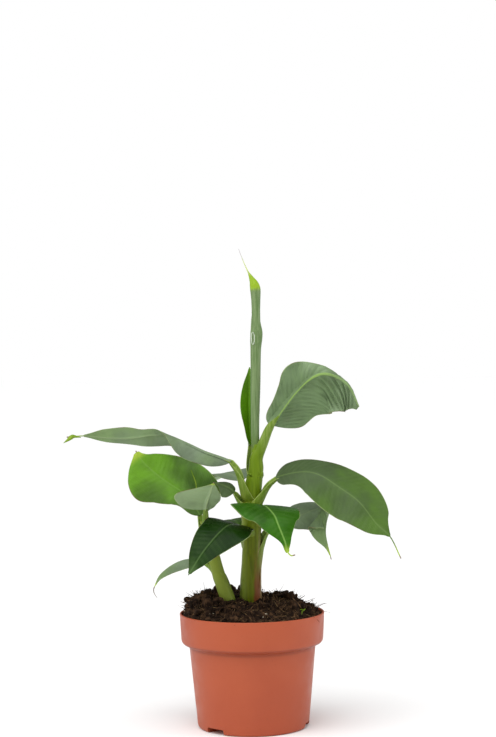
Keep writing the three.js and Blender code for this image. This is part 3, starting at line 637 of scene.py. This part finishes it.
def blade(name, leaf):
    """The blade, with its groove above and its keel below. Gives its curve and the share where it starts."""
    curve = Curve(leaf["path"])
    base = curve.at_point[leaf["base"]]
    t = np.linspace(0, 1, STATIONS + 1) ** 1.15
    share = (np.arange(1, HALF_CELLS + 1) / HALF_CELLS) ** 1.25
    p, along, right, up = frames(curve, base + (1 - base) * t, smooth(leaf["face"], t))
    xl, yl, wl = half_across(leaf, "left", t, share)
    xr, yr, wr = half_across(leaf, "right", t, share)
    zero = np.zeros((STATIONS + 1, 1))
    x = np.hstack([xl[:, ::-1], zero, xr])
    y = np.hstack([yl[:, ::-1], zero, yr])
    s = np.r_[-share[::-1], 0, share]
    w = np.where(s[None, :] < 0, wl[:, None], wr[:, None])
    across = s[None, :] * w
    run = (t * curve.length * (1 - base))[:, None] * np.ones_like(across)
    skew = smooth(leaf.get("skew", [0, 0]), t)[:, None, None]
    middle = (p[:, None] + x[..., None] * right[:, None] + y[..., None] * up[:, None]
              + skew * np.abs(x)[..., None] * along[:, None])
    normal = unit(np.cross(np.gradient(middle, axis=1), np.gradient(middle, axis=0)))
    size = np.clip(w / 12, 0, 1)
    phase = run - leaf.get("slant", VEIN_SLANT) * np.abs(across)
    seed = sum(map(ord, name))
    uneven = 1 + np.sin(phase * 0.31 + seed) * np.sin(across * 0.4 + seed)
    ripple = np.sin(phase * BROAD_VEINS + 1.3 * np.sin(phase * 0.17 + seed))
    ripple = leaf.get("ripple", 0.05) * uneven * ripple
    ripple = ripple + leaf.get("pleat", 0) * np.clip(4 * t - 1.8, 0, 1)[:, None] * np.sin(phase * 0.75)
    ripple = ripple * np.clip(np.abs(across) / 3, 0, 1) * np.clip((1 - np.abs(s)) * 6, 0.2, 1)[None, :]
    wave = np.sin(run / MARGIN_WAVE["length"] + seed + 1.6 * np.sign(s[None, :]))
    wave = MARGIN_WAVE["height"] * np.abs(s[None, :]) ** 2 * wave
    groove = -GROOVE["depth"] * np.exp(-(across / GROOVE["reach"]) ** 2) * np.clip(w / 8, 0, 1)
    middle = middle + ((ripple + wave) * size + groove)[..., None] * normal
    thick = HALF_THICKNESS * (1 - 0.5 * np.abs(s[None, :]) ** 3) * np.ones_like(across)
    keel_radius = (leaf["petiole"][1] * (1 - t) ** 1.5 + 0.3)[:, None] * np.ones_like(across)
    keel = np.sqrt(np.clip(1 - (across / keel_radius) ** 2, 0, 1)) * keel_radius * 0.85
    upper = middle + thick[..., None] * normal
    lower = middle - (thick + keel)[..., None] * normal
    columns = 2 * HALF_CELLS + 1
    count = (STATIONS + 1) * columns
    points = np.vstack([upper.reshape(-1, 3), lower.reshape(-1, 3)])
    top = grid_faces(STATIONS + 1, columns)
    under = grid_faces(STATIONS + 1, columns, start=count, flip=True)
    border = [r * columns for r in range(STATIONS + 1)]
    border += [STATIONS * columns + c for c in range(1, columns)]
    border += [r * columns + columns - 1 for r in range(STATIONS - 1, -1, -1)]
    border += [c for c in range(columns - 2, 0, -1)]
    rim = [[a, b, b + count, a + count] for a, b in zip(border, border[1:] + border[:1])]
    lime = leaf.get("lime", LIME_START)
    ripe = np.interp(t, [0, lime, max(1, lime + 0.1)], [0, LIME_START, 1])
    uv_share = np.stack(np.broadcast_arrays(ripe[:, None], (s[None, :] + 1) / 2), -1).reshape(-1, 2)
    uv_mm = np.stack([run, across], -1).reshape(-1, 2)
    faces = [*top, *under, *rim]
    index = [0] * len(top) + [1] * len(under) + [0] * len(rim)
    ob = make_mesh("blade_" + name, points, faces,
                   [("share", np.vstack([uv_share] * 2)), ("mm", np.vstack([uv_mm] * 2))],
                   [LEAF_MATERIALS[leaf["upper"]], LEAF_MATERIALS[leaf["lower"]]], index)
    finished(ob, leaf["slot"], "leaf_" + name)
    return curve, base


# Leaf stalks

STALK_ROWS = 90
STALK_SIDES = 22


def eased(values, width=5):
    """The rows of values, each averaged with its neighbours."""
    kernel = np.hanning(2 * width + 3)[1:-1]
    kernel /= kernel.sum()
    padded = np.pad(values, [(width, width)] + [(0, 0)] * (values.ndim - 1), mode="edge")
    if values.ndim == 1:
        return np.convolve(padded, kernel, "valid")
    return np.stack([np.convolve(padded[:, k], kernel, "valid") for k in range(values.shape[1])], -1)


def stalk(name, leaf, curve, base):
    """The leaf stalk: a sheath round the stem that thins to a channelled stalk and ends under the blade."""
    stem = STEMS[leaf.get("stem", "stem_main")]
    axis = Curve(stem["path"])
    path = np.asarray(leaf["path"][:leaf["base"] + 1], float)
    low, high = leaf["sheath"], leaf.get("wrap", path[0][2] - 7)
    path = path[path[:, 2] > high + 4]
    levels = [low, (low + high) / 2, high]
    place = [np.interp(z, axis.points[:, 2], axis.share) for z in levels]
    centre = Curve(np.vstack([axis.point(np.array(place)), path]))
    ahead = curve.point(np.linspace(base, min(1, base + 0.08), 8)[1:])
    line = Curve(np.vstack([centre.points[::6], ahead]), 8)
    blade_at = line.share[np.linalg.norm(line.points - path[-1], axis=1).argmin()]
    shares = np.array([0, 0.5, 1]) * centre.at_point[2] * blade_at
    t = np.linspace(0, 1, STALK_ROWS + 1)
    stem_radius = [float(smooth(stem["radii"], a)) for a in place]
    first, last = leaf["petiole"]
    keys = np.r_[shares, centre.at_point[3] * blade_at, blade_at, 1]
    radius = np.interp(t, keys, [stem_radius[0] - 0.5, stem_radius[1] + 0.35, stem_radius[2] + 0.6,
                                 (stem_radius[2] + 1.8 * first) / 2.8, last + 0.35, last * 0.4])
    half = np.radians(np.interp(t, keys, [172, 160, 138, 112, 98, 50]))
    thick = np.interp(t, keys, [0.2, 0.7, 1.2, first * 0.75, last * 0.85, last * 0.3])
    radius, half, thick = eased(radius), eased(half), eased(thick)
    outward = path[-1] - path[0]
    outward[2] = 0
    outward /= np.linalg.norm(outward)
    turn = np.clip((t - shares[2]) / (blade_at - shares[2]), 0, 1)[:, None]
    turn = turn * turn * (3 - 2 * turn)
    facing = -outward[None] * (1 - turn) + unit(np.asarray(leaf["face"][0], float))[None] * turn
    p, _, right, up = frames(line, t, facing)
    sink = np.clip((t - blade_at) / (1 - blade_at), -0.5, 1) + 0.5
    p = p - (0.5 * last * sink)[:, None] * up
    q = np.linspace(-1, 1, STALK_SIDES + 1)
    angle = q[None, :] * half[:, None]
    depth = 0.22 + thick[:, None] * np.sqrt(np.clip(1 - q[None, :] ** 2, 0, 1))
    outer = radius[:, None] * np.ones_like(angle)
    inner = np.maximum(outer - depth, 0.12 * outer)

    def ring(r):
        return (p[:, None] + (r * np.sin(angle))[..., None] * right[:, None]
                - (r * np.cos(angle))[..., None] * up[:, None])

    loop = np.concatenate([ring(outer), ring(inner)[:, ::-1]], axis=1)
    rows, columns = STALK_ROWS + 1, 2 * (STALK_SIDES + 1)
    faces = [*grid_faces(rows, columns, closed=True), list(range(columns))[::-1],
             list(range(STALK_ROWS * columns, rows * columns))]
    across = np.r_[(q + 1) / 2, ((q + 1) / 2)[::-1]]
    stretch = np.interp(t, [0, shares[2], 1], [0, 0.5, 1])
    uv = np.stack(np.broadcast_arrays(stretch[:, None], across[None, :]), -1).reshape(-1, 2)
    ob = make_mesh("stalk_" + name, loop.reshape(-1, 3), faces, [("share", uv)], [STALK])
    finished(ob, "petiole", "petiole_" + name)


for leaf_name, leaf_data in LEAVES.items():
    leaf_curve, leaf_base = blade(leaf_name, leaf_data)
    stalk(leaf_name, leaf_data, leaf_curve, leaf_base)

# Stems and the rolled leaf

for stem_name, stem in STEMS.items():
    stem_points, stem_faces, stem_uv = tube(Curve(stem["path"]), np.array(stem["radii"]) - 0.1, 48, 120)
    finished(make_mesh("trunk_" + stem_name, stem_points, stem_faces, [("share", stem_uv)], [STEM]), "stem",
             stem_name)


def rolled(angle, run):
    """The rolled leaf's section is a spiral, whose free edge stands proud of the turn beneath it."""
    z = SPIKE["path"][0][2] + run
    radius = np.interp(z, *zip(*SPIKE["radii"]))
    edge = np.radians(np.interp(z, *zip(*SPIKE["edge"])))
    turn = ((angle - edge) % (2 * np.pi)) / (2 * np.pi)
    return eased(radius, 2) * (1.04 - 0.13 * turn)


spike_points, spike_faces, spike_uv = tube(Curve(SPIKE["path"]), rolled, 96, 260)
finished(make_mesh("rolled_leaf", spike_points, spike_faces, [("share", spike_uv)], [ROLLED]), "leaf_pale",
         "leaf_rolled_spike")


def thread(name, material, path, radii, slot):
    """A thin strand along a path."""
    points, faces, uv = tube(Curve(path), radii, 8, 40)
    finished(make_mesh(name, points, faces, [("share", uv)], [material]), slot)


def ring_path(centre, half_width, half_height, bulge):
    """An upright oval lying on the front of a round surface."""
    turn = np.linspace(0.3, 2 * np.pi - 0.1, 14)
    across, height = half_width * np.sin(turn), half_height * np.cos(turn)
    return np.stack([centre[0] + across, centre[1] + bulge * across ** 2, centre[2] + height], -1)


thread("sap_scar", SAP, ring_path((4.1, -3.75, 321), 1.25, 5.2, 0.13),
       [0.3, 0.4, 0.3, 0.42, 0.25], "leaf_pale")
thread("long_left_curl", LIME,
       [[-142.8, 27, 239.6], [-146, 27.5, 240.2], [-150, 28, 240.4], [-154, 28, 237.6], [-157.7, 28, 235]],
       [0.3, 1.0, 1.9, 1.1, 0.2], "leaf_bright")
thread("low_left_curl", DRY,
       [[-81.6, 16, 113.6], [-82.4, 16, 111.4], [-81.8, 15.6, 108], [-79.4, 15, 104.6]],
       [0.5, 0.36, 0.2], "leaf_mid")
thread("sucker_thread", LIME, [[-44.6, 1.5, 197.5], [-45.4, -0.6, 203], [-48.8, -1.6, 212.5]],
       [0.5, 0.45, 0.3], "leaf_bright")

# Pot

ARC_STEPS = 5
POT_SEGMENTS = 180
SHARP_DEGREES = 32


def rounded(corners):
    """A profile of radius and height through corners, each rounded by the size that follows them."""
    points = [corners[0][:2]]
    for before, corner, after in zip(corners, corners[1:], corners[2:]):
        c = np.array(corner[:2], float)
        to_before, to_after = unit(np.array(before[:2]) - c), unit(np.array(after[:2]) - c)
        for k in np.linspace(0, 1, ARC_STEPS + 1):
            points.append(c + corner[2] * ((1 - k) ** 2 * to_before + k ** 2 * to_after))
    return [*points, corners[-1][:2]]


COLLAR_FOOT = POT["height"] - POT["collar"]


def pot_outside():
    return rounded([
        [0, 0, 0], [POT["body_foot"] - 0.6, 0, 2.6], [POT["body_top"], COLLAR_FOOT - POT["shoulder"], 1],
        [POT["collar_foot"], COLLAR_FOOT - 1.2, 3], [POT["rim"], POT["height"], 0.7], [0, POT["height"], 0],
    ])


def pot_cavity():
    wall, above = POT["wall"], POT["height"] + 5
    return rounded([
        [0, wall, 0], [POT["body_foot"] - wall, wall, 3],
        [POT["body_top"] - wall, COLLAR_FOOT - POT["shoulder"] + wall, 1],
        [POT["collar_foot"] - wall, COLLAR_FOOT + 0.6, 2], [POT["rim"] - wall, POT["height"] - 0.7, 0.5],
        [POT["rim"] - 0.9, POT["height"] + 0.2, 0.4], [POT["rim"] - 0.9, above, 1], [0, above, 0],
    ])


def turned(profile):
    """The solid that a profile sweeps round the pot's axis."""
    segments = POT_SEGMENTS
    angle = np.linspace(0, 2 * np.pi, segments, endpoint=False)
    p = np.asarray(profile, float)
    rings = np.stack([p[:, 0, None] * np.cos(angle), p[:, 0, None] * np.sin(angle),
                      p[:, 1, None] * np.ones(segments)], -1)
    body = rings[1:-1].reshape(-1, 3)
    count = len(body)
    faces = [list(f) for f in grid_faces(len(p) - 2, segments, closed=True)]
    for i in range(segments):
        j = (i + 1) % segments
        faces.append([count, j, i])
        faces.append([count + 1, count - segments + i, count - segments + j])
    return np.vstack([body, [[*p[0, :1], 0, p[0, 1]]], [[*p[-1, :1], 0, p[-1, 1]]]]), faces


def notch_block(i, grow):
    """A rounded block where one drainage notch is moulded into the foot."""
    turn = math.radians(NOTCH["azimuth"] + 360 * i / NOTCH["count"])
    half, top = NOTCH["width"] / 2 + grow, NOTCH["height"] + grow
    bevel = 1.2 + grow / 2
    side = [(-half, -9), (-half, top - bevel), (-half + 0.3 * bevel, top - 0.3 * bevel), (-half + bevel, top),
            (half - bevel, top), (half - 0.3 * bevel, top - 0.3 * bevel), (half, top - bevel), (half, -9)]
    inner, outer = POT["body_foot"] - NOTCH["depth"] - grow, POT["body_foot"] + 12
    points = []
    cos, sin = math.cos(turn), math.sin(turn)
    for r in (inner, outer):
        for a, z in side:
            points.append([r * cos - a * sin, r * sin + a * cos, z])
    count = len(side)
    faces = [[k, (k + 1) % count, count + (k + 1) % count, count + k] for k in range(count)]
    return make_mesh("block", points, [*faces, list(range(count))[::-1], list(range(count, 2 * count))],
                     outward=True)


def cut(ob, other):
    """Cuts other out of ob."""
    modifier = ob.modifiers.new("cut", "BOOLEAN")
    modifier.operation = "DIFFERENCE"
    modifier.object = other
    modifier.solver = "EXACT"
    bpy.context.view_layer.update()
    made = bpy.data.meshes.new_from_object(ob.evaluated_get(bpy.context.evaluated_depsgraph_get()))
    ob.modifiers.clear()
    ob.data = made
    bpy.data.objects.remove(other)


def pot():
    """The pot's shell: its outside, less its cavity and the notches. The wall steps in behind each notch."""
    ob = make_mesh("pot_shell", *turned(pot_outside()), materials=[POT_PLASTIC], outward=True)
    cavity = make_mesh("cavity", *turned(pot_cavity()), outward=True)
    for i in range(NOTCH["count"]):
        cut(cavity, notch_block(i, POT["wall"]))
    cut(ob, cavity)
    for i in range(NOTCH["count"]):
        cut(ob, notch_block(i, 0))
    ob.data.polygons.foreach_set("material_index", [0] * len(ob.data.polygons))
    ob.data.polygons.foreach_set("use_smooth", [True] * len(ob.data.polygons))
    ob.data.set_sharp_from_angle(angle=math.radians(SHARP_DEGREES))
    finished(ob, "pot", "pot")


pot()

# Soil


def soil_height(x, y):
    """The heap's height: a crown, higher at the left and the back, with lumps that die out at the rim."""
    edge = np.clip(np.hypot(x, y) / SOIL_RADIUS, 0, 1)
    inside = np.minimum(1, 6 * (1 - edge))
    left = np.maximum(0, -x / POT["rim"]) ** 1.5 * np.minimum(1.2, 1 + y / POT["rim"])
    back = np.clip(y / 40, 0, 1) ** 1.5
    lumps = np.sin(x / 7 + 1) * np.cos(y / 6) + 0.6 * np.sin(y / 4 + x / 9)
    heap = SOIL["crown"] * (1 - edge ** 2) ** 0.7
    rise = SOIL["left"] * left + SOIL["back"] * back + SOIL["lump"] * lumps
    return POT["height"] - SOIL["drop"] + heap + rise * inside


def rough_noise(points, scale, octaves):
    return np.array([noise.fractal(Vector(q) * scale, 0.9, 2.1, octaves) for q in points])


def soil_surface():
    rings, segments = 100, 280
    edge = np.linspace(1, 0, rings + 1)[:, None]
    angle = np.linspace(0, 2 * np.pi, segments, endpoint=False)[None, :]
    radius = SOIL_RADIUS * edge
    x, y = radius * np.cos(angle), radius * np.sin(angle)
    points = np.stack([x, y, soil_height(x, y)], -1).reshape(-1, 3)
    calm = np.clip(8 * (1 - edge * np.ones_like(x)), 0.15, 1).ravel()
    points[:, 2] += (2.4 * rough_noise(points, 0.22, 5) + rough_noise(points, 0.7, 3)) * calm
    skirt = points[:segments].copy()
    skirt[:, 2] = POT["height"] - 21
    points = np.vstack([skirt * [0.97, 0.97, 1], points])
    faces = grid_faces(rings + 2, segments, closed=True)
    ob = make_mesh("soil_surface", points, [*faces, list(range(segments))[::-1]], [], [PEAT])
    finished(ob, "soil", "soil")


def ball(levels):
    """A unit icosphere's points and faces, the seed that each crumb is knocked out of shape from."""
    g = (1 + 5 ** 0.5) / 2
    p = unit(np.array([[-1, g, 0], [1, g, 0], [-1, -g, 0], [1, -g, 0], [0, -1, g], [0, 1, g], [0, -1, -g],
                       [0, 1, -g], [g, 0, -1], [g, 0, 1], [-g, 0, -1], [-g, 0, 1]], float))
    f = np.array([[0, 11, 5], [0, 5, 1], [0, 1, 7], [0, 7, 10], [0, 10, 11], [1, 5, 9], [5, 11, 4],
                  [11, 10, 2], [10, 7, 6], [7, 1, 8], [3, 9, 4], [3, 4, 2], [3, 2, 6], [3, 6, 8],
                  [3, 8, 9], [4, 9, 5], [2, 4, 11], [6, 2, 10], [8, 6, 7], [9, 8, 1]])
    for _ in range(levels):
        corners = p[f]
        middles = unit(np.stack([corners[:, 0] + corners[:, 1], corners[:, 1] + corners[:, 2],
                                 corners[:, 2] + corners[:, 0]], 1)).reshape(-1, 3)
        everything = np.vstack([p, middles])
        m = len(p) + np.arange(len(f) * 3).reshape(-1, 3)
        f = np.vstack([np.stack([f[:, 0], m[:, 0], m[:, 2]], 1), np.stack([f[:, 1], m[:, 1], m[:, 0]], 1),
                       np.stack([f[:, 2], m[:, 2], m[:, 1]], 1), m])
        p, back = np.unique(np.round(everything, 6), axis=0, return_inverse=True)
        f = back.ravel()[f]
    return p, f


def crumbs(name, material, centres, radii, levels=1, knock=0.45):
    """Lumpy crumbs joined into one piece."""
    p, f = ball(levels)
    points, faces = [], []
    for centre, radius in zip(centres, radii):
        stretch = RNG.uniform(0.55, 1.35, 3)
        bumps = 1 + knock * np.sin(p @ RNG.normal(0, 2.4, (3, 3)) + RNG.uniform(0, 6, 3)).sum(1) / 2
        turn = np.array(Euler(RNG.uniform(0, 6.28, 3)).to_matrix())
        points.append((p * bumps[:, None] * stretch * radius) @ turn + centre)
        faces.append(f + len(p) * (len(points) - 1))
    finished(make_mesh(name, np.vstack(points), np.vstack(faces), [], [material]), "soil")


def on_soil(count, inner=0.0, outer=1.0):
    """Random places on the heap."""
    radius = (SOIL_RADIUS - 1.5) * np.sqrt(RNG.uniform(inner ** 2, outer ** 2, count))
    angle = RNG.uniform(0, 2 * np.pi, count)
    x, y = radius * np.cos(angle), radius * np.sin(angle)
    return np.stack([x, y, soil_height(x, y)], -1)


def fibres(name, material, starts, lengths, radii, lift):
    """Thin curved strands joined into one piece."""
    steps, sides = 7, 4
    points, faces = [], []
    for start, length, radius in zip(starts, lengths, radii):
        heading = unit(np.array([*RNG.normal(0, 1, 2), RNG.normal(lift, 0.35)]))
        curl = RNG.normal(0, 0.5, 3)
        at = start.copy()
        rings = []
        for k in range(steps + 1):
            side = unit(np.cross(heading, [0.3, 0.2, 0.93]))
            other = np.cross(heading, side)
            r = radius * (1 - 0.75 * k / steps)
            for a in range(sides):
                c, d = math.cos(2 * math.pi * a / sides), math.sin(2 * math.pi * a / sides)
                rings.append(at + r * (c * side + d * other))
            at = at + heading * length / steps
            heading = unit(heading + curl / steps + RNG.normal(0, 0.12, 3))
        offset = len(points) * (steps + 1) * sides
        points.append(np.array(rings))
        faces += [list(q) for q in grid_faces(steps + 1, sides, start=offset, closed=True)]
        faces += [[offset + 3, offset + 2, offset + 1, offset],
                  [offset + steps * sides + k for k in range(sides)]]
    finished(make_mesh(name, np.vstack(points), faces, [], [material]), "soil")


def clods():
    """Bigger clods: ranks of them at the back and on the left, and a few along the front."""
    angles = ((95, 215, 34), (15, 95, 12), (-150, -20, 16))
    reaches = ((30, 53, 34), (14, 40, 12), (30, 54, 16))
    angle = np.radians(np.concatenate([RNG.uniform(*a) for a in angles]))
    radius = np.concatenate([RNG.uniform(*r) for r in reaches])
    x, y = radius * np.cos(angle), radius * np.sin(angle)
    return np.stack([x, y, soil_height(x, y) + 0.8], -1), RNG.uniform(1.6, 4.2, len(angle))


def seedling():
    """A weed seedling with two round leaves, at the right of the heap."""
    foot = np.array([40, -34, soil_height(40, -34)])
    points, faces, _ = tube(Curve([foot - [0, 0, 1.5], foot + [0.4, -0.2, 2], foot + [1, -0.6, 5]]),
                            [0.35, 0.3, 0.3], 6, 8)
    body, leaf_faces = ball(2)
    parts, everything = [points], [list(f) for f in faces]
    for place, size in (((2.2, -0.8, 4.6), (1.5, 1.1, 0.3)), ((0, -1, 5), (1.2, 0.9, 0.3))):
        turn = np.array(Euler((0.5, 0.3 * place[0], 0.4)).to_matrix())
        offset = sum(map(len, parts))
        parts.append((body * size) @ turn + foot + place)
        everything += [[a + offset for a in f] for f in leaf_faces]
    finished(make_mesh("seedling", np.vstack(parts), everything, [], [LIME]), "leaf_bright")


soil_surface()
clod_places, clod_radii = clods()
crumbs("soil_clods", PEAT_CRUMB, clod_places, clod_radii, 3, 0.7)
crumbs("soil_crumbs", PEAT_CRUMB, on_soil(1700), np.clip(RNG.lognormal(0.0, 0.5, 1700), 0.4, 2.6))
crumbs("soil_perlite", PERLITE, on_soil(30, 0.2), RNG.uniform(0.4, 1.0, 30))
fibres("soil_fibres_dark", FIBRE_DARK, on_soil(1300), RNG.uniform(4, 12, 1300),
       RNG.uniform(0.16, 0.4, 1300), 0.2)
fibres("soil_fibres_tan", FIBRE_TAN, on_soil(260, 0.1, 0.95), RNG.uniform(3, 9, 260),
       RNG.uniform(0.12, 0.3, 260), 0.2)
thread("twig", FIBRE_DARK, [[40, -20, 100], [37.5, -20, 103.5], [34, -20, 107], [33.6, -20, 109.5]],
       [0.45, 0.5, 0.4, 0.25], "soil")
thread("side_fibre", FIBRE_DARK, [[-50, -6, 101], [-54, -7, 103.5], [-58, -8, 104]], [0.4, 0.35, 0.2], "soil")
seedling()

# Stage, light and camera

FLOOR_HALF = 40000
FLOOR_WHITE = (0.94, 0.94, 0.94)
SOFT_LIGHT = 0.34
BACKDROP = 1.0
SUN = {"energy": 2.7, "degrees": 70, "tilt": (24, -8, 0)}
SIDE_LIGHTS = {"left": (-1.5, -0.6, 0.7), "right": (1.5, -0.2, 0.6)}
LENS = 78.8
CAMERA_PLACE = (-0.0003, -1.340, 0.296)
CAMERA_ROLL = 0.85

floor_nodes = Nodes("floor_white", 0.9)
floor_nodes.color(FLOOR_WHITE)
floor_corners = [[FLOOR_HALF * a, FLOOR_HALF * b, 0] for a, b in ((-1, -1), (1, -1), (1, 1), (-1, 1))]
make_mesh("floor", floor_corners, [[0, 1, 2, 3]], materials=[floor_nodes.material])

world = bpy.data.worlds.new("studio")
world.use_nodes = True
sky = world.node_tree
sky.nodes["Background"].inputs["Color"].default_value = (1, 1, 1, 1)
sky.nodes["Background"].inputs["Strength"].default_value = SOFT_LIGHT
backdrop = sky.nodes.new("ShaderNodeBackground")
backdrop.inputs["Color"].default_value = (1, 1, 1, 1)
backdrop.inputs["Strength"].default_value = BACKDROP
choose = sky.nodes.new("ShaderNodeMixShader")
path = sky.nodes.new("ShaderNodeLightPath")
sky.links.new(path.outputs["Is Camera Ray"], choose.inputs["Fac"])
sky.links.new(sky.nodes["Background"].outputs[0], choose.inputs[1])
sky.links.new(backdrop.outputs[0], choose.inputs[2])
sky.links.new(choose.outputs[0], sky.nodes["World Output"].inputs["Surface"])
bpy.context.scene.world = world


def linked(name, data):
    ob = bpy.data.objects.new(name, data)
    bpy.context.scene.collection.objects.link(ob)
    return ob


sun_data = bpy.data.lights.new("overhead", "SUN")
sun_data.energy = SUN["energy"]
sun_data.angle = math.radians(SUN["degrees"])
linked("overhead", sun_data).rotation_euler = [math.radians(a) for a in SUN["tilt"]]
for light_name, light_place in SIDE_LIGHTS.items():
    light_data = bpy.data.lights.new(light_name, "AREA")
    light_data.energy = 6
    light_data.size = 1.0
    light = linked(light_name, light_data)
    light.location = light_place
    light.rotation_euler = (Vector((0, 0, 0.2)) - Vector(light_place)).to_track_quat("-Z", "Y").to_euler()

camera_data = bpy.data.cameras.new("camera")
camera_data.lens = LENS
camera_data.sensor_width = 36
camera_data.clip_start = 0.05
camera_data.clip_end = 60
camera = linked("camera", camera_data)
camera.location = CAMERA_PLACE
camera.rotation_euler = (math.radians(90), math.radians(CAMERA_ROLL), 0)
bpy.context.scene.camera = camera
bpy.context.scene.view_settings.view_transform = "Standard"
